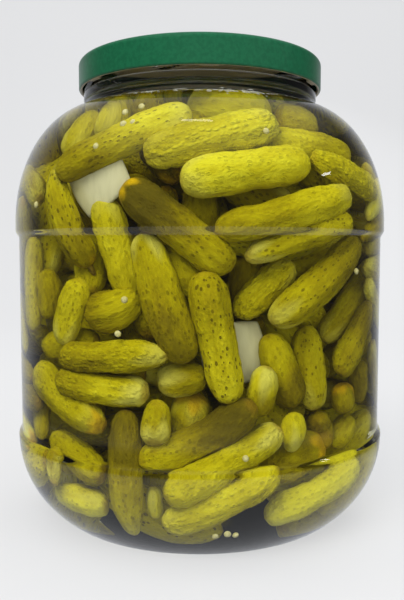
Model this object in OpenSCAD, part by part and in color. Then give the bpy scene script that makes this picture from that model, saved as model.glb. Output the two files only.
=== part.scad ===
// Large wide-mouthed glass jar of pickled gherkins, closed with a twist-off metal cap.
// Millimetres. +Z is up, and the origin is the centre of the ring that the jar stands on.
// The jar is one piece of blown glass, a body of revolution with raised thread ridges
// round its finish. The cap is one piece of pressed tinplate. The filling is the brine
// with everything in it, as one solid up to its level.

/* [Jar body] */
// Diameter at the shoulder and at the foot band, the widest places
body_d = 173; // [140:0.5:208]
// How far the label panel lies back from those bands
panel_recess = 1.5; // [0.5:0.1:3]
// Thickness of the glass in the sides, the shoulder and the neck
wall = 3; // [2.5:0.1:4.5]
// Height of the glass from the table to the sealing rim
jar_h = 209; // [160:0.5:280]
// Height at which the foot band ends and the step up to the label panel begins
foot_band_h = 38.2; // [30:0.1:60]
// Height of each of the two steps between a band and the label panel
step_h = 3.5; // [2:0.1:8]
// Height of the plain band between the label panel and the shoulder
upper_band_h = 2.5; // [1:0.1:12]
// Distance from the rim down to where the shoulder's curve begins
shoulder_drop = 75; // [60:0.5:95]

/* [Base] */
// Diameter of the circle in which the heel's curve would meet the table
foot_d = 133; // [110:0.5:150]
// Radius of the small curve between the heel and the standing ring
foot_fillet = 3; // [1:0.5:6]
// Radius of the curve between the heel and the floor on the inside
floor_fillet = 12; // [6:0.5:18]
// Width of the flat ring that the jar stands on
standing_ring_w = 6; // [3:0.5:10]
// Height of the base's dome over the table, and of the floor's dome over its edge
push_up = 4; // [2:0.5:8]
// Thickness of the glass in the base
base_wall = 5; // [3.5:0.5:8]

/* [Neck and finish] */
// Outer diameter of the finish, the plain wall under the cap
finish_d = 106; // [80:0.5:128]
// Height of the groove between the shoulder and the bead
groove_h = 3.2; // [1:0.1:6]
// How far the bead stands out from the finish
bead_out = 1.8; // [1:0.1:2.2]
// Height of the bead
bead_h = 4; // [3:0.1:7]
// Radius of the curve at the bead's edges
bead_round = 1.1; // [0.5:0.1:1.4]
// Radius of the curve at the rim's edges
rim_round = 1.2; // [0.5:0.05:1.2]

/* [Thread ridges] */
// Number of thread ridges, which is also the number of the cap's lugs
thread_count = 6; // [4:1:7]
// How far a ridge's crest stands out from the finish
thread_out = 1.6; // [1.2:0.1:2]
// Angle that each ridge spans round the neck
thread_span = 40; // [36:1:46]
// Height that each ridge climbs over that angle
thread_rise = 6.4; // [5.2:0.1:7.5]
// Height of a ridge where it leaves the wall
thread_foot_h = 2.4; // [1.8:0.1:3]
// Height of a ridge's crest
thread_crest_h = 1; // [0.6:0.1:1.6]
// Direction of the first ridge's low end, in degrees from the front
thread_start = -23; // [-90:1:90]

/* [Cap] */
// Height of the cap
cap_h = 13; // [10.5:0.1:16]
// Thickness of the cap's sheet
sheet = 0.5; // [0.3:0.05:0.8]
// Radius of the curve between the skirt and the top
cap_round = 2.2; // [1:0.1:3]
// Radius of the roll along the skirt's lower edge
curl_r = 0.9; // [0.6:0.05:1.1]
// Depth of the cap's sunken middle
panel_drop = 1.4; // [0.5:0.1:2]
// Width of the slope down to the sunken middle
panel_slope_w = 1.2; // [0.5:0.1:3]
// Angle that each lug of the cap spans
lug_span = 8; // [5:1:10]
// Height of a lug
lug_h = 1.2; // [0.8:0.1:1.6]

/* [Filling] */
// Distance from the rim down to the brine's surface
brine_drop = 24.7; // [22:0.1:60]

/* [Clearances] */
// Gap between the glass and the filling all round
filling_gap = 0.1; // [0.05:0.05:0.3]
// Gap between the mouth and the cap's sunken middle
mouth_gap = 0.4; // [0.2:0.1:1]
// Gap between the ridges' crests and the cap's roll
crest_gap = 0.6; // [0.3:0.1:1]
// Gap between the finish and the tips of the cap's lugs
lug_tip_gap = 1; // [0.5:0.1:1.1]
// Gap between each lug and the ridge that it grips under
lug_top_gap = 0.3; // [0.2:0.1:0.6]
// Gap between the cap's lower edge and the bead
bead_gap = 1.2; // [0.5:0.1:3]

/* [Hidden] */
$fn = 180;

body_r = body_d / 2;
panel_r = body_r - panel_recess;
finish_r = finish_d / 2;
mouth_r = finish_r - wall;
bead_r = finish_r + bead_out;
thread_r = finish_r + thread_out;
cap_r = thread_r + crest_gap + 2 * curl_r;

cap_top = jar_h + sheet;
skirt_z = cap_top - cap_h;
bead_top = skirt_z - bead_gap;
bead_low = bead_top - bead_h;
brine_z = jar_h - brine_drop;

// The label panel lies between the two steps
panel_low = foot_band_h + step_h;
shoulder_z = jar_h - shoulder_drop;
panel_high = shoulder_z - upper_band_h - step_h;

// The heel is an arc that is upright where it meets the foot band
heel_in = body_r - foot_d / 2;
heel_r = (pow(heel_in, 2) + pow(foot_band_h, 2)) / (2 * heel_in);
heel_c = [body_r - heel_r, foot_band_h];

// The shoulder is a quarter of an ellipse, level over the mouth's edge
shoulder_c = [mouth_r, shoulder_z];
shoulder_w = body_r - mouth_r;
shoulder_rise = bead_low - groove_h - shoulder_z;

arc_steps = 16; // pieces of a long arc
round_steps = 5; // pieces of a small rounding
ridge_steps = 14; // pieces of a ridge's length
ridge_taper = 6; // degrees over which a ridge fades into the wall at each end
ridge_root = 0.6; // how far a ridge reaches into the wall, so that the two are one piece
ridge_low_z = bead_top + 0.3; // where a ridge starts, just over the bead
lug_low_z = skirt_z + 0.1; // a lug's underside, just over the roll's

// Each lug stands where its ridge has just climbed clear of it
lug_climb = lug_low_z + lug_h + lug_top_gap + thread_foot_h / 2 - ridge_low_z;
lug_at = thread_span * lug_climb / thread_rise + lug_span / 2;

// Points of an arc, or of an ellipse's arc where rx and ry differ
function arc(c, rx, ry, from, to, n) =
    [for (i = [0:n]) let (a = from + (to - from) * i / n) c + [rx * cos(a), ry * sin(a)]];

// A smooth step from a to b that is upright at both ends
function step(a, b) = [for (i = [0:round_steps])
    let (t = i / round_steps) [a[0] + (b[0] - a[0]) * (1 - cos(180 * t)) / 2, a[1] + (b[1] - a[1]) * t]];

// A shallow dome from the axis out to the edge, which lies the push-up lower
function dome(edge) = let (r = (pow(edge[0], 2) + pow(push_up, 2)) / (2 * push_up))
    arc([0, edge[1] + push_up - r], r, r, 90, 90 - asin(edge[0] / r), 6);

// The corner of radius r that rolls from the level z into the heel, moved in by t
function corner_turn(t, z, r) = -asin((heel_c[1] - z - r) / (heel_r - t - r));
function corner_c(t, z, r) =
    heel_c + (heel_r - t - r) * [cos(corner_turn(t, z, r)), sin(corner_turn(t, z, r))];

// The side of the jar from the level z up to the neck, all moved in by t
function side(t, z, r) = concat(
    arc(corner_c(t, z, r), r, r, -90, corner_turn(t, z, r), round_steps),
    arc(heel_c, heel_r - t, heel_r - t, corner_turn(t, z, r), 0, arc_steps),
    step([body_r - t, foot_band_h], [panel_r - t, panel_low]),
    step([panel_r - t, panel_high], [body_r - t, panel_high + step_h]),
    arc(shoulder_c, shoulder_w - t, shoulder_rise - t,
        0, acos((finish_r - t - mouth_r) / (shoulder_w - t)), arc_steps));

// The inside of the glass from its floor up, with the gap that the filling keeps
function inside(gap) = let (t = wall + gap, z = base_wall + gap, r = floor_fillet - gap)
    concat(dome([corner_c(t, z, r)[0], z]), side(t, z, r));

module jar_outline() {
    ring_out = corner_c(0, 0, foot_fillet)[0];
    glass_in = inside(0);
    polygon(concat(
        dome([ring_out - standing_ring_w, 0]),
        side(0, 0, foot_fillet),
        [[finish_r, bead_low]],
        arc([bead_r - bead_round, bead_low + bead_round], bead_round, bead_round, -60, 0, round_steps),
        arc([bead_r - bead_round, bead_top - bead_round], bead_round, bead_round, 0, 60, round_steps),
        [[finish_r, bead_top]],
        arc([finish_r - rim_round, jar_h - rim_round], rim_round, rim_round, 0, 90, round_steps),
        arc([mouth_r + rim_round, jar_h - rim_round], rim_round, rim_round, 90, 180, round_steps),
        [for (i = [len(glass_in) - 1:-1:0]) glass_in[i]]));
}

// A bar that climbs round the neck and fades into the wall at both ends
module ridge() {
    rings = [for (i = [0:ridge_steps])
        let (turn = thread_span * i / ridge_steps,
             z = ridge_low_z + thread_rise * i / ridge_steps,
             rise = min(1, turn / ridge_taper, (thread_span - turn) / ridge_taper),
             root = finish_r - ridge_root,
             crest = root + (thread_r - root) * (0.4 + 0.6 * rise))
        for (p = [[root, -thread_foot_h / 2], [crest, -thread_crest_h / 2],
                  [crest, thread_crest_h / 2], [root, thread_foot_h / 2]])
            [p[0] * sin(turn), -p[0] * cos(turn), z + p[1]]];
    flanks = [for (i = [0:ridge_steps - 1], j = [0:3])
        let (b = 4 * i, k = (j + 1) % 4) [b + j, b + k, b + 4 + k, b + 4 + j]];
    last = 4 * ridge_steps;
    polyhedron(rings, concat([[3, 2, 1, 0]], flanks, [[last, last + 1, last + 2, last + 3]]));
}

module jar() {
    color([0.82, 0.86, 0.84, 0.35]) {
        rotate_extrude() jar_outline();
        for (i = [0:thread_count - 1])
            rotate([0, 0, thread_start + i * 360 / thread_count]) ridge();
    }
}

module cap_outline() {
    drop_r = mouth_r - mouth_gap;
    corner = [cap_r - cap_round, cap_top - cap_round];
    polygon(concat(
        [[0, cap_top - panel_drop],
         [drop_r - sheet - panel_slope_w, cap_top - panel_drop],
         [drop_r - sheet, cap_top]],
        arc(corner, cap_round, cap_round, 90, 0, round_steps),
        arc([cap_r - curl_r, skirt_z + curl_r], curl_r, curl_r, 0, -180, 2 * round_steps),
        [[cap_r - 2 * curl_r, skirt_z + 1.4 * curl_r],
         [cap_r - sheet, skirt_z + 2.6 * curl_r]],
        arc(corner, cap_round - sheet, cap_round - sheet, 0, 90, round_steps),
        [[drop_r, cap_top - sheet],
         [drop_r - panel_slope_w, cap_top - panel_drop - sheet],
         [0, cap_top - panel_drop - sheet]]));
}

// The roll is pressed flat and inwards here, to grip under a ridge
module lug() {
    tip_r = finish_r + lug_tip_gap;
    rotate([0, 0, -90 - lug_span / 2])
        rotate_extrude(angle = lug_span)
            translate([tip_r, lug_low_z])
                square([cap_r - curl_r - tip_r, lug_h]);
}

module cap() {
    color([0.05, 0.36, 0.20]) {
        rotate_extrude() cap_outline();
        for (i = [0:thread_count - 1])
            rotate([0, 0, thread_start + lug_at + i * 360 / thread_count]) lug();
    }
}

module filling() {
    color([0.62, 0.60, 0.10])
        intersection() {
            rotate_extrude()
                polygon(concat(inside(filling_gap), [[mouth_r - filling_gap, jar_h], [0, jar_h]]));
            cylinder(h = brine_z, r = body_r);
        }
}

jar();
cap();
filling();
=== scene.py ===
# %% [markdown]
# # A large jar of pickled gherkins
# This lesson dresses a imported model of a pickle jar. The model brings three plain solids: the
# glass jar, its metal cap and the filling. Here each gets the look of the real thing. The glass
# and the brine become smooth surfaces that bend light, the cap gets its lacquer, and the brine
# is filled with gherkins, pieces of onion, mustard seeds and froth.

# %% Load the frame and measure it
import math
import bmesh
import bpy
import numpy as np
from mathutils import Matrix, Vector


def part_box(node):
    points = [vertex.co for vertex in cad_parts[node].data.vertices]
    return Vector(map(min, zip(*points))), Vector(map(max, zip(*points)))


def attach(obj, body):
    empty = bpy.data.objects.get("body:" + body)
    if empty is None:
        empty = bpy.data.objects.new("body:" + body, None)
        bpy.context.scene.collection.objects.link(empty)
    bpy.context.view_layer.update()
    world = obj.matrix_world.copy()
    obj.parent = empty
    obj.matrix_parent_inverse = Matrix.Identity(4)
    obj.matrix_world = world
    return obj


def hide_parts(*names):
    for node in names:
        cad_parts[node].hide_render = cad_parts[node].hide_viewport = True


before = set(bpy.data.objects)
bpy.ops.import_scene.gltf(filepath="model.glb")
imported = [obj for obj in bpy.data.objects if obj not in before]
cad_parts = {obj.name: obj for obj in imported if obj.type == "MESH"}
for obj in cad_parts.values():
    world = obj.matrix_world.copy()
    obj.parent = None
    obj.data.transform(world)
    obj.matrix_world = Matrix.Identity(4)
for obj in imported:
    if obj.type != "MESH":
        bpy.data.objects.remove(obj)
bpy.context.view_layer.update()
MM = 0.001
jar_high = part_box("jar")[1]
cap_low, cap_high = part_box("cap")
brine_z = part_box("filling")[1].z
body_r = jar_high.x
jar_h = jar_high.z
cap_r = cap_high.x
print("nodes of the solid model:", ", ".join(sorted(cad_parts)))
print("jar radius and height, mm:", round(body_r / MM, 1), round(jar_h / MM, 1))

# %% [markdown]
# ## Small helpers
# Blender's operators act on whatever is selected, so each step first clears the selection and
# then picks its own object. These helpers keep that in one place.

# %% Selecting, applying and copying
def deselect():
    if bpy.context.mode != "OBJECT":
        bpy.ops.object.mode_set(mode="OBJECT")
    bpy.ops.object.select_all(action="DESELECT")


def pick(*objects):
    deselect()
    for obj in objects:
        obj.select_set(True)
    bpy.context.view_layer.objects.active = objects[0]


def apply_modifier(obj, kind, **settings):
    pick(obj)
    bpy.ops.object.modifier_add(type=kind)
    modifier = obj.modifiers[-1]
    for name, value in settings.items():
        setattr(modifier, name, value)
    bpy.ops.object.modifier_apply(modifier=modifier.name)


def settle_in_place(obj):
    pick(obj)
    bpy.ops.object.transform_apply(location=True, rotation=True, scale=True)


def own_copy(model):
    """A copy with a mesh of its own, so that it can be reshaped without changing the model."""
    obj = model.copy()
    obj.data = model.data.copy()
    bpy.context.scene.collection.objects.link(obj)
    return obj


def add_attribute(obj, name, kind, field, values):
    """Store one value for each point of the mesh, for the material to read."""
    layer = obj.data.attributes.new(name, kind, "POINT")
    layer.data.foreach_set(field, np.asarray(values, dtype=np.float32).ravel())


# %% [markdown]
# ## Finishing a piece
# Every finished piece gets its name, its one material and the body that it rides on. Then it says
# how many triangles it has.

# %% Name a piece and give it its material
def triangles(obj):
    return sum(len(face.vertices) - 2 for face in obj.data.polygons)


def finish_piece(obj, name, material):
    obj.name = name
    obj.data.materials.clear()
    obj.data.materials.append(material)
    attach(obj, "root")
    print(name, "has", triangles(obj), "triangles")
    return obj


# %% [markdown]
# ## Building a material from nodes
# A material is a small network. This helper adds one node, sets its plain inputs, and joins the
# inputs that are given as another node's output.

# %% A helper that adds one node
def node(tree, kind, settings=None, **inputs):
    made = tree.nodes.new(kind)
    for name, value in (settings or {}).items():
        setattr(made, name, value)
    for name, value in inputs.items():
        key = name.replace("_", " ")
        socket = made.inputs[int(name[1:])] if name[1:].isdigit() else made.inputs[key]
        if isinstance(value, bpy.types.NodeSocket):
            tree.links.new(value, socket)
        else:
            socket.default_value = value
    return made


def new_material(name):
    material = bpy.data.materials.new(name)
    material.use_nodes = True
    material.node_tree.nodes.clear()
    return material, material.node_tree


def put_out(tree, shader):
    node(tree, "ShaderNodeOutputMaterial", Surface=shader)


def ramp(tree, fac, *stops, smooth=True):
    made = node(tree, "ShaderNodeValToRGB", Fac=fac)
    made.color_ramp.interpolation = "EASE" if smooth else "LINEAR"
    elements = made.color_ramp.elements
    while len(elements) < len(stops):
        elements.new(0.5)
    for element, (place, color) in zip(elements, stops):
        element.position = place
        element.color = (*color, 1) if len(color) == 3 else color
    return made.outputs["Color"]


def gray(level):
    return (level, level, level)


# %% [markdown]
# ## Short names for common nodes
# Most materials here ask for the same few things: where a point lies, a stored attribute, a noise
# pattern, a sum, a fade from one value to another. A short function for each keeps the text of a
# material close to what the material does.

# %% Helpers for patterns, sums and surfaces
def object_place(tree):
    return node(tree, "ShaderNodeTexCoord").outputs["Object"]


def attribute(tree, name):
    return node(tree, "ShaderNodeAttribute", {"attribute_name": name}).outputs


def split(tree, color):
    return node(tree, "ShaderNodeSeparateColor", Color=color).outputs


def drawn_out(tree, place, scale):
    """The same places scaled, so that a pattern that reads them is drawn out."""
    return node(tree, "ShaderNodeMapping", Vector=place, Scale=scale).outputs[0]


def noise(tree, place, scale, detail, roughness=0.5):
    made = node(
        tree, "ShaderNodeTexNoise", Vector=place, Scale=scale, Detail=detail, Roughness=roughness
    )
    return made.outputs["Fac"]


def math_node(tree, operation, a, b=0.0, c=0.0):
    made = node(tree, "ShaderNodeMath", {"operation": operation}, i0=a, i1=b, i2=c)
    return made.outputs[0]


def add_up(tree, start, *others):
    """Add the other values to the first, each by its own share."""
    for value, share in others:
        start = math_node(tree, "MULTIPLY_ADD", value, share, start)
    return start


def fade(tree, value, low, high, to_low=0.0, to_high=1.0):
    made = node(
        tree, "ShaderNodeMapRange", {"interpolation_type": "SMOOTHSTEP"}, Value=value,
        From_Min=low, From_Max=high, To_Min=to_low, To_Max=to_high,
    )
    return made.outputs[0]


def blend(tree, share, first, second):
    made = node(tree, "ShaderNodeMix", {"data_type": "RGBA"}, i0=share, i6=first, i7=second)
    return made.outputs[2]


def relief(tree, height, strength, distance):
    return node(
        tree, "ShaderNodeBump", Strength=strength, Distance=distance, Height=height
    ).outputs[0]


def show_surface(tree, **inputs):
    """One plain shaded surface, straight to the material's output."""
    put_out(tree, node(tree, "ShaderNodeBsdfPrincipled", **inputs).outputs[0])


# %% [markdown]
# ## The outline of the glass
# The jar is a body of revolution, so one outline holds its whole shape. The outline repeats the
# sizes of the solid model: an arc for the heel, two small steps beside the label panel, and a
# quarter of an ellipse for the shoulder.

# %% Sizes of the glass
WALL = 3 * MM
PANEL_RECESS = 1.5 * MM
FOOT_BAND_H = 38.2 * MM
STEP_H = 3.5 * MM
UPPER_BAND_H = 2.5 * MM
SHOULDER_DROP = 75 * MM
FOOT_R = 66.5 * MM
FOOT_FILLET = 3 * MM
FLOOR_FILLET = 12 * MM
STANDING_RING_W = 6 * MM
PUSH_UP = 4 * MM
BASE_WALL = 5 * MM
FINISH_R = 53 * MM
GROOVE_H = 3.2 * MM
BEAD_OUT = 1.8 * MM
BEAD_H = 4 * MM
BEAD_ROUND = 1.1 * MM
BEAD_GAP = 1.2 * MM
RIM_ROUND = 1.2 * MM
FILLET_POINTS = 10
HEEL_POINTS = 28
PANEL_POINTS = 12
SHOULDER_POINTS = 36
NECK_POINTS = 24
ROUND_POINTS = 6

mouth_r = FINISH_R - WALL
bead_r = FINISH_R + BEAD_OUT
bead_top = cap_low.z - BEAD_GAP
bead_low = bead_top - BEAD_H
shoulder_z = jar_h - SHOULDER_DROP
panel_low = FOOT_BAND_H + STEP_H
panel_high = shoulder_z - UPPER_BAND_H - STEP_H
heel_in = body_r - FOOT_R
heel_r = (heel_in**2 + FOOT_BAND_H**2) / (2 * heel_in)
heel_c = (body_r - heel_r, FOOT_BAND_H)
shoulder_rise = bead_low - GROOVE_H - shoulder_z
print("heel radius and shoulder level, mm:", round(heel_r / MM, 1), round(shoulder_z / MM, 1))

# %% [markdown]
# ## Arcs, steps and straight stretches
# Each part of the outline is a small function that returns its points. A point is a distance from
# the axis and a height. The steps follow half a wave, so that they run smoothly out of one radius
# into the next, as blown glass does.

# %% The curves that the outline is made of
def arc(center, rx, ry, start, end, steps):
    turns = [math.radians(start + (end - start) * i / steps) for i in range(steps + 1)]
    return [(center[0] + rx * math.cos(t), center[1] + ry * math.sin(t)) for t in turns]


def step(low, high, steps=8):
    shares = [i / steps for i in range(steps + 1)]
    return [
        (
            low[0] + (high[0] - low[0]) * (1 - math.cos(math.pi * s)) / 2,
            low[1] + (high[1] - low[1]) * s,
        )
        for s in shares
    ]


def dome(edge, steps=10):
    radius = (edge[0] ** 2 + PUSH_UP**2) / (2 * PUSH_UP)
    end = 90 - math.degrees(math.asin(edge[0] / radius))
    points = arc((0, edge[1] + PUSH_UP - radius), radius, radius, 90, end, steps)
    points[0] = (0, points[0][1])
    return points


def straight(low, high, steps):
    return [
        (low[0] + (high[0] - low[0]) * i / steps, low[1] + (high[1] - low[1]) * i / steps)
        for i in range(1, steps)
    ]


def corner(inset, level, radius):
    turn = -math.asin((heel_c[1] - level - radius) / (heel_r - inset - radius))
    reach = heel_r - inset - radius
    return math.degrees(turn), (
        heel_c[0] + reach * math.cos(turn),
        heel_c[1] + reach * math.sin(turn),
    )


# %% [markdown]
# ## From the foot to the rim
# The wall is drawn once, by a function that can also move it inwards. The same function then gives
# the outside of the glass, its inside, the brine's skin and the wall that holds the gherkins, so
# all four always fit each other.

# %% The wall and the whole outline
def side(inset, level, radius):
    """The wall from its foot to the neck, moved in by inset."""
    turn, center = corner(inset, level, radius)
    top = math.degrees(math.acos((FINISH_R - inset - mouth_r) / (body_r - mouth_r - inset)))
    band, panel = body_r - inset, body_r - PANEL_RECESS - inset
    foot_step = step((band, FOOT_BAND_H), (panel, panel_low))
    upper_step = step((panel, panel_high), (band, panel_high + STEP_H))
    across, up = body_r - mouth_r - inset, shoulder_rise - inset
    return (
        arc(center, radius, radius, -90, turn, FILLET_POINTS)
        + arc(heel_c, heel_r - inset, heel_r - inset, turn, 0, HEEL_POINTS)[1:]
        + foot_step[1:]
        + straight(foot_step[-1], upper_step[0], PANEL_POINTS)
        + upper_step
        + arc((mouth_r, shoulder_z), across, up, 0, top, SHOULDER_POINTS)[1:]
    )


def rounding(center, radius, start, end):
    return arc(center, radius, radius, start, end, ROUND_POINTS)


def glass_outline():
    """Up the outside from the middle of the base to the rim, and down the inside again."""
    center = corner(0, 0, FOOT_FILLET)[1]
    bead_c, rim_low = bead_r - BEAD_ROUND, jar_h - RIM_ROUND
    outer = (
        dome((center[0] - STANDING_RING_W, 0))
        + side(0, 0, FOOT_FILLET)
        + [(FINISH_R, bead_low)]
        + rounding((bead_c, bead_low + BEAD_ROUND), BEAD_ROUND, -60, 0)
        + rounding((bead_c, bead_top - BEAD_ROUND), BEAD_ROUND, 0, 60)
        + [(FINISH_R, bead_top)]
        + straight((FINISH_R, bead_top), (FINISH_R, rim_low), NECK_POINTS)
        + rounding((FINISH_R - RIM_ROUND, rim_low), RIM_ROUND, 0, 90)
        + rounding((mouth_r + RIM_ROUND, rim_low), RIM_ROUND, 90, 180)
    )
    floor_edge = corner(WALL, BASE_WALL, FLOOR_FILLET)[1][0]
    inner = dome((floor_edge, BASE_WALL))[:-1] + side(WALL, BASE_WALL, FLOOR_FILLET)
    return outer + inner[::-1]


outline = glass_outline()
print("the glass outline has", len(outline), "points")

# %% [markdown]
# ## Spinning an outline into a body
# A single point is pulled out of a plane, extruded from one place on the outline to the next, and
# the finished line is spun once round the jar's axis. The last copy lands on the first, so
# doubles are merged, and then the normals are made to point outwards.

# %% Spin
def spun(outline, steps):
    deselect()
    first = outline[0]
    bpy.ops.mesh.primitive_plane_add(size=MM, location=(first[0], 0, first[1]))
    obj = bpy.context.object
    bpy.ops.object.mode_set(mode="EDIT")
    bpy.ops.mesh.merge(type="CENTER")
    for here, there in zip(outline, outline[1:]):
        move = (there[0] - here[0], 0, there[1] - here[1])
        bpy.ops.mesh.extrude_vertices_move(TRANSFORM_OT_translate={"value": move})
    bpy.ops.mesh.select_all(action="SELECT")
    bpy.ops.mesh.spin(steps=steps, angle=2 * math.pi, center=(0, 0, 0), axis=(0, 0, 1))
    bpy.ops.mesh.select_all(action="SELECT")
    bpy.ops.mesh.remove_doubles(threshold=0.001 * MM)
    bpy.ops.mesh.normals_make_consistent(inside=False)
    bpy.ops.object.mode_set(mode="OBJECT")
    settle_in_place(obj)
    bpy.ops.object.shade_smooth()
    return obj


# %% [markdown]
# ## Glass and brine materials
# Both let light through and bend it. A lamp's light would be lost inside two curved surfaces, so
# each lets shadow rays pass straight on, a little tinted. Seen directly they bend light as the
# real ones do. The brine also takes away some blue along the way, so it is yellower where it is
# deep.

# %% Clear glass and yellow-green brine
GLASS_BENDS = 1.5
BRINE_BENDS = 1.34


def clear_material(name, color, ior, shadow_tint):
    """Clear and smooth, and without mirroring where the mesh carries the mark called wetted."""
    material, tree = new_material(name)
    body = node(
        tree, "ShaderNodeBsdfPrincipled", Base_Color=(*color, 1), Roughness=0.0,
        IOR=ior, Transmission_Weight=1.0,
    )
    bending = node(tree, "ShaderNodeBsdfRefraction", Color=(*color, 1), Roughness=0.0, IOR=ior)
    wetted = attribute(tree, "wetted")["Fac"]
    body = node(tree, "ShaderNodeMixShader", i0=wetted, i1=body.outputs[0], i2=bending.outputs[0])
    passing = node(tree, "ShaderNodeBsdfTransparent", Color=(*shadow_tint, 1)).outputs[0]
    is_shadow = node(tree, "ShaderNodeLightPath").outputs["Is Shadow Ray"]
    mixed = node(tree, "ShaderNodeMixShader", i0=is_shadow, i1=body.outputs[0], i2=passing)
    put_out(tree, mixed.outputs[0])
    return material


def make_murky(material, color, density):
    tree = material.node_tree
    murk = node(tree, "ShaderNodeVolumeAbsorption", Color=(*color, 1), Density=density)
    output = next(n for n in tree.nodes if n.type == "OUTPUT_MATERIAL")
    tree.links.new(murk.outputs[0], output.inputs["Volume"])


glass_material = clear_material("clear_jar_glass", (0.985, 0.995, 0.99), GLASS_BENDS, (0.98, 0.98, 0.97))
brine_material = clear_material("gherkin_brine", (1.0, 1.0, 1.0), BRINE_BENDS, (1.0, 1.0, 0.98))
make_murky(brine_material, (0.80, 0.76, 0.30), 9.0)
print("clear materials:", glass_material.name, brine_material.name)

# %% [markdown]
# ## Where glass and brine meet
# A surface mirrors much where two clear things bend light very differently, as air and glass do.
# Glass and brine are nearly alike, so the skin between them mirrors almost nothing. Every point
# there gets a mark, and the materials leave the mirroring out where they find it.

# %% Mark the wetted points
# how a surface faces: towards the axis, level, and up as the top of the brine does
INWARD = -0.02
LEVEL = 0.5
BRINE_TOP = 0.9
FLOOR_UNDER = 20 * MM
DRY_EDGE = 2 * MM


def mark_wetted(obj, inside_only):
    """Mark all of a mesh that is wetted, or only what faces the inside of the jar."""
    marks = []
    for v in obj.data.vertices:
        reach = math.hypot(v.co.x, v.co.y)
        inward = (v.normal.x * v.co.x + v.normal.y * v.co.y) / max(reach, MM) < INWARD
        floor = v.normal.z > LEVEL and v.co.z < FLOOR_UNDER
        wet = (inward or floor) if inside_only else v.normal.z < BRINE_TOP
        marks.append(1.0 if wet and v.co.z < brine_z - DRY_EDGE else 0.0)
    add_attribute(obj, "wetted", "FLOAT", "value", marks)
    print("wetted points:", int(sum(marks)), "of", len(marks))


# %% [markdown]
# ## The glass jar
# The whole outline is spun in fine steps, because a coarse surface would show as facets in what
# is seen through it. Six slanting ridges, which hold the cap, are then lifted out of the neck by
# moving its own points, so that they stay one smooth skin with the glass.

# %% Spin the jar
THREADS = 6
THREAD_OUT = 1.6 * MM
THREAD_SPAN = 40
THREAD_RISE = 6.4 * MM
THREAD_LOW = 195.6 * MM
THREAD_START = -23
THREAD_HALF = 1.2 * MM
THREAD_FADE = 4
NECK_WITHIN = 0.05 * MM
GLASS_STEPS = 192


def raise_threads(obj):
    """Lift slanting ridges out of the neck, one after another round the rim."""
    for v in obj.data.vertices:
        reach = math.hypot(v.co.x, v.co.y)
        if abs(reach - FINISH_R) > NECK_WITHIN or v.co.z < bead_top:
            continue
        turn = math.degrees(math.atan2(v.co.x, -v.co.y))
        along = (turn - THREAD_START) % (360 / THREADS)
        if along > THREAD_SPAN:
            continue
        middle = THREAD_LOW + THREAD_RISE * along / THREAD_SPAN
        ends = min(1, along / THREAD_FADE, (THREAD_SPAN - along) / THREAD_FADE)
        ridge = max(0, 1 - ((v.co.z - middle) / THREAD_HALF) ** 2)
        v.co.xy *= 1 + THREAD_OUT * ridge * ends / reach


glass = spun(outline, GLASS_STEPS)
raise_threads(glass)
mark_wetted(glass, inside_only=True)
finish_piece(glass, "glass_jar", glass_material)
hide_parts("jar")

# %% [markdown]
# ## The brine
# The brine fills the glass. Its surface is pushed just into the wall, because a gap of air there
# would show as a silver skin. Where it meets the glass it climbs a little, as water does.

# %% Spin the brine
INTO_WALL = 0.3 * MM
MENISCUS = 1.6 * MM
EDGE_IN = 0.5 * MM
CLIMB_SHARES = (0, 0.2, 0.45, 0.7, 1)
TOP_SHARES = (0.85, 0.6, 0.3, 0)
BRINE_STEPS = 160


def brine_outline():
    inset = WALL - INTO_WALL
    level, radius = BASE_WALL - INTO_WALL, FLOOR_FILLET + INTO_WALL
    wall = dome((corner(inset, level, radius)[1][0], level))[:-1] + side(inset, level, radius)
    wall = [point for point in wall if point[1] < brine_z]
    edge = wall[-1][0] - EDGE_IN
    climb = [
        (edge - MENISCUS * 2 * share, brine_z - MENISCUS * (1 - (1 - share) ** 2))
        for share in CLIMB_SHARES
    ]
    level_top = [(edge * share, brine_z - MENISCUS) for share in TOP_SHARES]
    return wall + climb + level_top


brine = spun(brine_outline(), BRINE_STEPS)
mark_wetted(brine, inside_only=False)
finish_piece(brine, "brine", brine_material)
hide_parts("filling")

# %% [markdown]
# ## Where each gherkin lies
# Just behind the glass the gherkins lie in a loose outer layer, and their order decides how the
# jar looks. The ones at the front are placed one by one. Each line holds the two ends, as an
# angle round the jar and a height in millimetres, then the thickness, the depth behind the glass,
# and the look. Brightness is one number, or a pair for the first and the last end. The other
# pairs give an amount for each end, and a bluntness of 0 means the usual one.

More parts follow.
